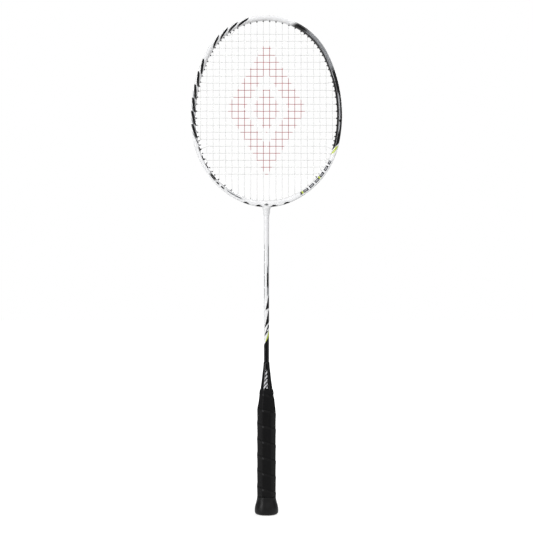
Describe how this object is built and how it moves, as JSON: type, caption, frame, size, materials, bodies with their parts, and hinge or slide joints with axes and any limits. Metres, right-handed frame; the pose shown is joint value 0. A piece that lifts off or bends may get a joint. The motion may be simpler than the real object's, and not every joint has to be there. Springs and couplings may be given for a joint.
{
  "type": "badminton racket",
  "caption": "Badminton racket with an oval strung hoop, slim round shaft, cone and wrapped eight-sided handle with a flared butt.",
  "frame": {"origin": "middle of the flat end of the butt", "axes": "+Z along the racket from the butt to the crown of the head, +X to the right in the plane of the strings, the front of the string bed faces -Y"},
  "size_m": [0.2044, 0.0302, 0.675],
  "materials": {
    "hoop_paint": "glossy lacquer, white with black, silver and lime stripes",
    "throat_paint": "glossy white lacquer",
    "shaft_paint": "glossy lacquer, white fading in slashes to black",
    "throat_peg": "plain turned",
    "cone_plastic": "glossy moulded",
    "handle_wood": "sanded softwood",
    "grip_wrap": "matt tacky polymer with a fine grain",
    "band_tape": "satin tape",
    "butt_plastic": "satin moulded",
    "string_nylon": "translucent nylon, part of it inked red",
    "grommet_plastic": "satin moulded nylon",
    "grommet_pale": "satin moulded nylon, undyed"
  },
  "bodies": {
    "root": {"frame_hoop": "hoop_paint", "throat_sleeve": "throat_paint", "shaft": "shaft_paint", "t_joint": "throat_peg", "cone_cap": "cone_plastic", "handle_core": "handle_wood", "grip_tape": "grip_wrap", "finishing_band": "band_tape", "butt_cap": "butt_plastic", "main_string": "string_nylon", "cross_string": "string_nylon", "main_string_knots": "string_nylon", "cross_string_knots": "string_nylon", "crown_grommets": "grommet_plastic", "left_shoulder_grommets": "grommet_plastic", "right_shoulder_grommets": "grommet_plastic", "left_side_grommets": "grommet_plastic", "right_side_grommets": "grommet_plastic", "left_flank_grommets": "grommet_plastic", "right_flank_grommets": "grommet_pale", "throat_grommets": "grommet_pale", "tie_off_grommets": "grommet_plastic"}
  },
  "joints": []
}
